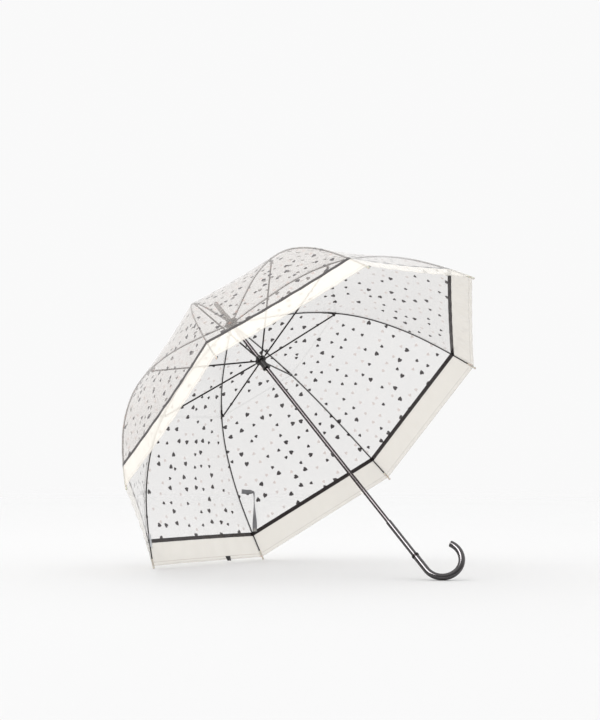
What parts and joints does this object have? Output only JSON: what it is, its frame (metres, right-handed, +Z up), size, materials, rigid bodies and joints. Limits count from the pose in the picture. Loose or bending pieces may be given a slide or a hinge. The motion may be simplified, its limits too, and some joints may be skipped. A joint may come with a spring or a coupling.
{
  "type": "clear bubble umbrella",
  "caption": "Open dome umbrella with a clear printed film canopy, ribs on a sliding runner, a slim dark shaft and a J-shaped hook handle, lying on its rim.",
  "frame": {"origin": "centre of the bounding box's base, on the surface the umbrella lies on", "axes": "+Z up off that surface; +X horizontal, along the shaft's lean from the canopy towards the hook; +Y across, the rim's widest direction"},
  "size_m": [0.7134, 0.8428, 0.6643],
  "materials": {
    "clear_film": "gloss",
    "cream_tip": "satin",
    "rib_steel": "satin",
    "stretcher_steel": "satin",
    "shaft_steel": "gloss",
    "black_plastic": "satin",
    "grip_plastic": "gloss",
    "collar_plastic": "gloss",
    "hook_plastic": "gloss",
    "catch_steel": "satin",
    "strap_film": "gloss",
    "snap_metal": "satin"
  },
  "bodies": {
    "frame": {"shaft": "shaft_steel", "ferrule": "black_plastic", "top_notch": "black_plastic", "crown_cap": "black_plastic", "grip_sleeve": "grip_plastic", "collar_ring": "collar_plastic", "hook_handle": "hook_plastic"},
    "rib_1": {"rib_inner_1": "rib_steel"},
    "rib_end_1": {"rib_outer_1": "rib_steel", "rib_tip_1": "cream_tip", "strap_snap": "snap_metal"},
    "arm_1": {"stretcher_1": "stretcher_steel"},
    "film_top_1": {"film_inner_1": "clear_film"},
    "film_skirt_1": {"film_outer_1": "clear_film", "tie_strap": "strap_film"},
    "rib_2": {"rib_inner_2": "rib_steel"},
    "rib_end_2": {"rib_outer_2": "rib_steel", "rib_tip_2": "cream_tip"},
    "arm_2": {"stretcher_2": "stretcher_steel"},
    "film_top_2": {"film_inner_2": "clear_film"},
    "film_skirt_2": {"film_outer_2": "clear_film"},
    "rib_3": {"rib_inner_3": "rib_steel"},
    "rib_end_3": {"rib_outer_3": "rib_steel", "rib_tip_3": "cream_tip"},
    "arm_3": {"stretcher_3": "stretcher_steel"},
    "film_top_3": {"film_inner_3": "clear_film"},
    "film_skirt_3": {"film_outer_3": "clear_film"},
    "rib_4": {"rib_inner_4": "rib_steel"},
    "rib_end_4": {"rib_outer_4": "rib_steel", "rib_tip_4": "cream_tip"},
    "arm_4": {"stretcher_4": "stretcher_steel"},
    "film_top_4": {"film_inner_4": "clear_film"},
    "film_skirt_4": {"film_outer_4": "clear_film"},
    "rib_5": {"rib_inner_5": "rib_steel"},
    "rib_end_5": {"rib_outer_5": "rib_steel", "rib_tip_5": "cream_tip"},
    "arm_5": {"stretcher_5": "stretcher_steel"},
    "film_top_5": {"film_inner_5": "clear_film"},
    "film_skirt_5": {"film_outer_5": "clear_film"},
    "rib_6": {"rib_inner_6": "rib_steel"},
    "rib_end_6": {"rib_outer_6": "rib_steel", "rib_tip_6": "cream_tip"},
    "arm_6": {"stretcher_6": "stretcher_steel"},
    "film_top_6": {"film_inner_6": "clear_film"},
    "film_skirt_6": {"film_outer_6": "clear_film"},
    "rib_7": {"rib_inner_7": "rib_steel"},
    "rib_end_7": {"rib_outer_7": "rib_steel", "rib_tip_7": "cream_tip"},
    "arm_7": {"stretcher_7": "stretcher_steel"},
    "film_top_7": {"film_inner_7": "clear_film"},
    "film_skirt_7": {"film_outer_7": "clear_film"},
    "rib_8": {"rib_inner_8": "rib_steel"},
    "rib_end_8": {"rib_outer_8": "rib_steel", "rib_tip_8": "cream_tip"},
    "arm_8": {"stretcher_8": "stretcher_steel"},
    "film_top_8": {"film_inner_8": "clear_film"},
    "film_skirt_8": {"film_outer_8": "clear_film"},
    "slider": {"runner": "black_plastic"},
    "open_catch": {"top_spring": "catch_steel"},
    "closed_catch": {"bottom_spring": "catch_steel"}
  },
  "joints": [
    {"name": "fold", "type": "hinge", "parent": "frame", "child": "rib_1", "pos_m": [-0.23291, 0.00306, 0.51723], "axis": [-0.2643, -0.9239, -0.2767], "range_deg": [0, 73]},
    {"name": "rib_1_flex", "type": "hinge", "parent": "rib_1", "child": "rib_end_1", "pos_m": [-0.34432, 0.09379, 0.32073], "axis": [-0.2643, -0.9239, -0.2767], "range_deg": [-32.05, 0]},
    {"name": "arm_1_swing", "type": "hinge", "parent": "rib_1", "child": "arm_1", "pos_m": [-0.33829, 0.09139, 0.32297], "axis": [-0.2643, -0.9239, -0.2767], "range_deg": [-146, 0]},
    {"name": "film_top_1_fold", "type": "hinge", "parent": "frame", "child": "film_top_1", "pos_m": [-0.23142, 0.00523, 0.5188], "axis": [-0.4885, -0.7071, -0.5113], "range_deg": [0, 73], "deforming": ["film_inner_1"]},
    {"name": "film_skirt_1_flex", "type": "hinge", "parent": "film_top_1", "child": "film_skirt_1", "pos_m": [-0.2985, 0.16011, 0.36868], "axis": [-0.4885, -0.7071, -0.5113], "range_deg": [-35.05, 0], "deforming": ["film_outer_1", "tie_strap"]},
    {"name": "rib_2_fold", "type": "hinge", "parent": "frame", "child": "rib_2", "pos_m": [-0.22992, 0.00739, 0.52036], "axis": [-0.6382, -0.3827, -0.668], "range_deg": [0, 73]},
    {"name": "rib_2_flex", "type": "hinge", "parent": "rib_2", "child": "rib_end_2", "pos_m": [-0.25269, 0.22643, 0.41664], "axis": [-0.6382, -0.3827, -0.668], "range_deg": [-32.05, 0]},
    {"name": "arm_2_swing", "type": "hinge", "parent": "rib_2", "child": "arm_2", "pos_m": [-0.249, 0.22065, 0.41643], "axis": [-0.6382, -0.3827, -0.668], "range_deg": [-146, 0]},
    {"name": "film_top_2_fold", "type": "hinge", "parent": "frame", "child": "film_top_2", "pos_m": [-0.22781, 0.00739, 0.52258], "axis": [-0.6908, 0, -0.7231], "range_deg": [0, 73], "deforming": ["film_inner_2"]},
    {"name": "film_skirt_2_flex", "type": "hinge", "parent": "film_top_2", "child": "film_skirt_2", "pos_m": [-0.1879, 0.22643, 0.48445], "axis": [-0.6908, 0, -0.7231], "range_deg": [-35.05, 0], "deforming": ["film_outer_2"]},
    {"name": "rib_3_fold", "type": "hinge", "parent": "frame", "child": "rib_3", "pos_m": [-0.22569, 0.00739, 0.52479], "axis": [-0.6382, 0.3827, -0.668], "range_deg": [0, 73]},
    {"name": "rib_3_flex", "type": "hinge", "parent": "rib_3", "child": "rib_end_3", "pos_m": [-0.12312, 0.22643, 0.55227], "axis": [-0.6382, 0.3827, -0.668], "range_deg": [-32.05, 0]},
    {"name": "arm_3_swing", "type": "hinge", "parent": "rib_3", "child": "arm_3", "pos_m": [-0.12274, 0.22065, 0.54859], "axis": [-0.6382, 0.3827, -0.668], "range_deg": [-146, 0]},
    {"name": "film_top_3_fold", "type": "hinge", "parent": "frame", "child": "film_top_3", "pos_m": [-0.2242, 0.00523, 0.52635], "axis": [-0.4885, 0.7071, -0.5113], "range_deg": [0, 73], "deforming": ["film_inner_3"]},
    {"name": "film_skirt_3_flex", "type": "hinge", "parent": "film_top_3", "child": "film_skirt_3", "pos_m": [-0.0773, 0.16011, 0.60022], "axis": [-0.4885, 0.7071, -0.5113], "range_deg": [-35.05, 0], "deforming": ["film_outer_3"]},
    {"name": "rib_4_fold", "type": "hinge", "parent": "frame", "child": "rib_4", "pos_m": [-0.2227, 0.00306, 0.52792], "axis": [-0.2643, 0.9239, -0.2767], "range_deg": [0, 73]},
    {"name": "rib_4_flex", "type": "hinge", "parent": "rib_4", "child": "rib_end_4", "pos_m": [-0.03149, 0.09379, 0.64818], "axis": [-0.2643, 0.9239, -0.2767], "range_deg": [-32.05, 0]},
    {"name": "arm_4_swing", "type": "hinge", "parent": "rib_4", "child": "arm_4", "pos_m": [-0.03345, 0.09139, 0.64205], "axis": [-0.2643, 0.9239, -0.2767], "range_deg": [-146, 0]},
    {"name": "film_top_4_fold", "type": "hinge", "parent": "frame", "child": "film_top_4", "pos_m": [-0.2227, 0, 0.52792], "axis": [0, 1, 0], "range_deg": [0, 73], "deforming": ["film_inner_4"]},
    {"name": "film_skirt_4_flex", "type": "hinge", "parent": "film_top_4", "child": "film_skirt_4", "pos_m": [-0.03149, 0, 0.64818], "axis": [0, 1, 0], "range_deg": [-35.05, 0], "deforming": ["film_outer_4"]},
    {"name": "rib_5_fold", "type": "hinge", "parent": "frame", "child": "rib_5", "pos_m": [-0.2227, -0.00306, 0.52792], "axis": [0.2643, 0.9239, 0.2767], "range_deg": [0, 73]},
    {"name": "rib_5_flex", "type": "hinge", "parent": "rib_5", "child": "rib_end_5", "pos_m": [-0.03149, -0.09379, 0.64818], "axis": [0.2643, 0.9239, 0.2767], "range_deg": [-32.05, 0]},
    {"name": "arm_5_swing", "type": "hinge", "parent": "rib_5", "child": "arm_5", "pos_m": [-0.03345, -0.09139, 0.64205], "axis": [0.2643, 0.9239, 0.2767], "range_deg": [-146, 0]},
    {"name": "film_top_5_fold", "type": "hinge", "parent": "frame", "child": "film_top_5", "pos_m": [-0.2242, -0.00523, 0.52635], "axis": [0.4885, 0.7071, 0.5113], "range_deg": [0, 73], "deforming": ["film_inner_5"]},
    {"name": "film_skirt_5_flex", "type": "hinge", "parent": "film_top_5", "child": "film_skirt_5", "pos_m": [-0.0773, -0.16011, 0.60022], "axis": [0.4885, 0.7071, 0.5113], "range_deg": [-35.05, 0], "deforming": ["film_outer_5"]},
    {"name": "rib_6_fold", "type": "hinge", "parent": "frame", "child": "rib_6", "pos_m": [-0.22569, -0.00739, 0.52479], "axis": [0.6382, 0.3827, 0.668], "range_deg": [0, 73]},
    {"name": "rib_6_flex", "type": "hinge", "parent": "rib_6", "child": "rib_end_6", "pos_m": [-0.12312, -0.22643, 0.55227], "axis": [0.6382, 0.3827, 0.668], "range_deg": [-32.05, 0]},
    {"name": "arm_6_swing", "type": "hinge", "parent": "rib_6", "child": "arm_6", "pos_m": [-0.12274, -0.22065, 0.54859], "axis": [0.6382, 0.3827, 0.668], "range_deg": [-146, 0]},
    {"name": "film_top_6_fold", "type": "hinge", "parent": "frame", "child": "film_top_6", "pos_m": [-0.22781, -0.00739, 0.52258], "axis": [0.6908, 0, 0.7231], "range_deg": [0, 73], "deforming": ["film_inner_6"]},
    {"name": "film_skirt_6_flex", "type": "hinge", "parent": "film_top_6", "child": "film_skirt_6", "pos_m": [-0.1879, -0.22643, 0.48445], "axis": [0.6908, 0, 0.7231], "range_deg": [-35.05, 0], "deforming": ["film_outer_6"]},
    {"name": "rib_7_fold", "type": "hinge", "parent": "frame", "child": "rib_7", "pos_m": [-0.22992, -0.00739, 0.52036], "axis": [0.6382, -0.3827, 0.668], "range_deg": [0, 73]},
    {"name": "rib_7_flex", "type": "hinge", "parent": "rib_7", "child": "rib_end_7", "pos_m": [-0.25269, -0.22643, 0.41664], "axis": [0.6382, -0.3827, 0.668], "range_deg": [-32.05, 0]},
    {"name": "arm_7_swing", "type": "hinge", "parent": "rib_7", "child": "arm_7", "pos_m": [-0.249, -0.22065, 0.41643], "axis": [0.6382, -0.3827, 0.668], "range_deg": [-146, 0]},
    {"name": "film_top_7_fold", "type": "hinge", "parent": "frame", "child": "film_top_7", "pos_m": [-0.23142, -0.00523, 0.5188], "axis": [0.4885, -0.7071, 0.5113], "range_deg": [0, 73], "deforming": ["film_inner_7"]},
    {"name": "film_skirt_7_flex", "type": "hinge", "parent": "film_top_7", "child": "film_skirt_7", "pos_m": [-0.2985, -0.16011, 0.36868], "axis": [0.4885, -0.7071, 0.5113], "range_deg": [-35.05, 0], "deforming": ["film_outer_7"]},
    {"name": "rib_8_fold", "type": "hinge", "parent": "frame", "child": "rib_8", "pos_m": [-0.23291, -0.00306, 0.51723], "axis": [0.2643, -0.9239, 0.2767], "range_deg": [0, 73]},
    {"name": "rib_8_flex", "type": "hinge", "parent": "rib_8", "child": "rib_end_8", "pos_m": [-0.34432, -0.09379, 0.32073], "axis": [0.2643, -0.9239, 0.2767], "range_deg": [-32.05, 0]},
    {"name": "arm_8_swing", "type": "hinge", "parent": "rib_8", "child": "arm_8", "pos_m": [-0.33829, -0.09139, 0.32297], "axis": [0.2643, -0.9239, 0.2767], "range_deg": [-146, 0]},
    {"name": "film_top_8_fold", "type": "hinge", "parent": "frame", "child": "film_top_8", "pos_m": [-0.23291, 0, 0.51723], "axis": [0, -1, 0], "range_deg": [0, 73], "deforming": ["film_inner_8"]},
    {"name": "film_skirt_8_flex", "type": "hinge", "parent": "film_top_8", "child": "film_skirt_8", "pos_m": [-0.34432, 0, 0.32073], "axis": [0, -1, 0], "range_deg": [-35.05, 0], "deforming": ["film_outer_8"]},
    {"name": "runner_swivel", "type": "hinge", "parent": "arm_1", "child": "slider", "pos_m": [-0.14904, 0.00306, 0.4371], "axis": [-0.2643, -0.9239, -0.2767], "range_deg": [0, 73]},
    {"name": "open_catch_press", "type": "slide", "parent": "frame", "child": "open_catch", "axis": [0.5982, 0.5, 0.6262], "range_m": [0, 0.0033], "stiffness_N_per_m": 600},
    {"name": "closed_catch_press", "type": "slide", "parent": "frame", "child": "closed_catch", "axis": [0.5982, 0.5, 0.6262], "range_m": [0, 0.0033], "stiffness_N_per_m": 600}
  ],
  "couplings": [
    {"joint": "rib_1_flex", "follows": "fold", "ratio": -0.43836},
    {"joint": "arm_1_swing", "follows": "fold", "ratio": -2},
    {"joint": "film_top_1_fold", "follows": "fold", "ratio": 1},
    {"joint": "film_skirt_1_flex", "follows": "fold", "ratio": -0.47945},
    {"joint": "rib_2_fold", "follows": "fold", "ratio": 1},
    {"joint": "rib_2_flex", "follows": "fold", "ratio": -0.43836},
    {"joint": "arm_2_swing", "follows": "fold", "ratio": -2},
    {"joint": "film_top_2_fold", "follows": "fold", "ratio": 1},
    {"joint": "film_skirt_2_flex", "follows": "fold", "ratio": -0.47945},
    {"joint": "rib_3_fold", "follows": "fold", "ratio": 1},
    {"joint": "rib_3_flex", "follows": "fold", "ratio": -0.43836},
    {"joint": "arm_3_swing", "follows": "fold", "ratio": -2},
    {"joint": "film_top_3_fold", "follows": "fold", "ratio": 1},
    {"joint": "film_skirt_3_flex", "follows": "fold", "ratio": -0.47945},
    {"joint": "rib_4_fold", "follows": "fold", "ratio": 1},
    {"joint": "rib_4_flex", "follows": "fold", "ratio": -0.43836},
    {"joint": "arm_4_swing", "follows": "fold", "ratio": -2},
    {"joint": "film_top_4_fold", "follows": "fold", "ratio": 1},
    {"joint": "film_skirt_4_flex", "follows": "fold", "ratio": -0.47945},
    {"joint": "rib_5_fold", "follows": "fold", "ratio": 1},
    {"joint": "rib_5_flex", "follows": "fold", "ratio": -0.43836},
    {"joint": "arm_5_swing", "follows": "fold", "ratio": -2},
    {"joint": "film_top_5_fold", "follows": "fold", "ratio": 1},
    {"joint": "film_skirt_5_flex", "follows": "fold", "ratio": -0.47945},
    {"joint": "rib_6_fold", "follows": "fold", "ratio": 1},
    {"joint": "rib_6_flex", "follows": "fold", "ratio": -0.43836},
    {"joint": "arm_6_swing", "follows": "fold", "ratio": -2},
    {"joint": "film_top_6_fold", "follows": "fold", "ratio": 1},
    {"joint": "film_skirt_6_flex", "follows": "fold", "ratio": -0.47945},
    {"joint": "rib_7_fold", "follows": "fold", "ratio": 1},
    {"joint": "rib_7_flex", "follows": "fold", "ratio": -0.43836},
    {"joint": "arm_7_swing", "follows": "fold", "ratio": -2},
    {"joint": "film_top_7_fold", "follows": "fold", "ratio": 1},
    {"joint": "film_skirt_7_flex", "follows": "fold", "ratio": -0.47945},
    {"joint": "rib_8_fold", "follows": "fold", "ratio": 1},
    {"joint": "rib_8_flex", "follows": "fold", "ratio": -0.43836},
    {"joint": "arm_8_swing", "follows": "fold", "ratio": -2},
    {"joint": "film_top_8_fold", "follows": "fold", "ratio": 1},
    {"joint": "film_skirt_8_flex", "follows": "fold", "ratio": -0.47945},
    {"joint": "runner_swivel", "follows": "fold", "ratio": 1}
  ]
}
